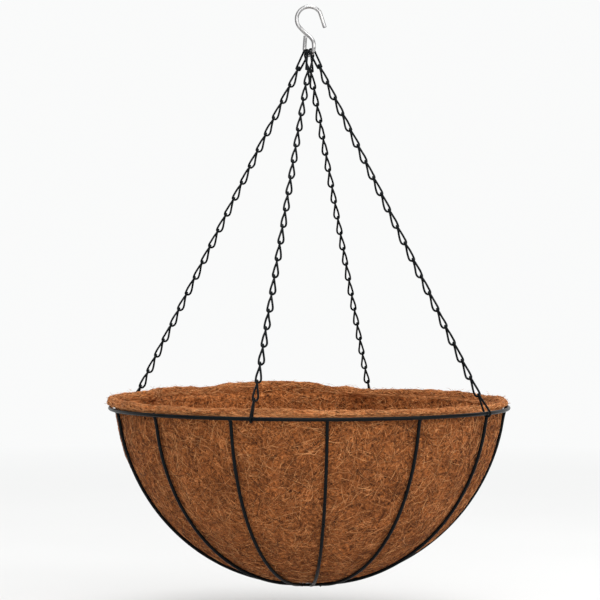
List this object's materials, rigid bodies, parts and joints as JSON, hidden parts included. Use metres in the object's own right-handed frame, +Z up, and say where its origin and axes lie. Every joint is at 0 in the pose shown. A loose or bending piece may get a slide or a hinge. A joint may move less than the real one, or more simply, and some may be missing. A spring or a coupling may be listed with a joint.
{
  "type": "hanging basket",
  "caption": "Round wire hanging basket with a coir liner, hung by link chains from an S-hook; the basket swings on the hook and the liner lifts out.",
  "frame": {"origin": "where the underside of the S-hook's crown rests on whatever the basket hangs from", "axes": "+Z up, along the line that the basket hangs on; -Y is the front; the hook's upper loop lies in the XZ plane"},
  "size_m": [0.4064, 0.4064, 0.5872],
  "materials": {
    "black_wire": "black powder coat, satin",
    "zinc_wire": "bright zinc plating",
    "coir": "rough pressed coconut fibre"
  },
  "bodies": {
    "hook": {"s_hook": "zinc_wire"},
    "top_links": {"top_link_left": "black_wire", "top_link_back": "black_wire", "top_link_front": "black_wire", "top_link_right": "black_wire"},
    "basket": {"rim_ring": "black_wire", "base_ring": "black_wire", "rib_01": "black_wire", "rib_02": "black_wire", "rib_03": "black_wire", "rib_04": "black_wire", "rib_05": "black_wire", "rib_06": "black_wire", "rib_07": "black_wire", "rib_08": "black_wire", "rib_09": "black_wire", "rib_10": "black_wire", "rib_11": "black_wire", "rib_12": "black_wire", "rib_13": "black_wire", "rib_14": "black_wire", "chain_left": "black_wire", "chain_back": "black_wire", "chain_front": "black_wire", "chain_right": "black_wire", "rim_clip_left": "black_wire", "rim_clip_back": "black_wire", "rim_clip_front": "black_wire", "rim_clip_right": "black_wire"},
    "liner": {"coir_liner": "coir"}
  },
  "joints": [
    {"name": "basket_swing", "type": "hinge", "parent": "hook", "child": "top_links", "pos_m": [0, 0, -0.04635], "axis": [0.5878, -0.809, 0], "range_deg": [-15, 15]},
    {"name": "basket_sway", "type": "hinge", "parent": "top_links", "child": "basket", "pos_m": [0, 0, -0.0624], "axis": [0.809, 0.5878, 0], "range_deg": [-3, 3]},
    {"name": "liner_lift", "type": "slide", "parent": "basket", "child": "liner", "axis": [0, 0, 1], "range_m": [0, 0.008]}
  ]
}
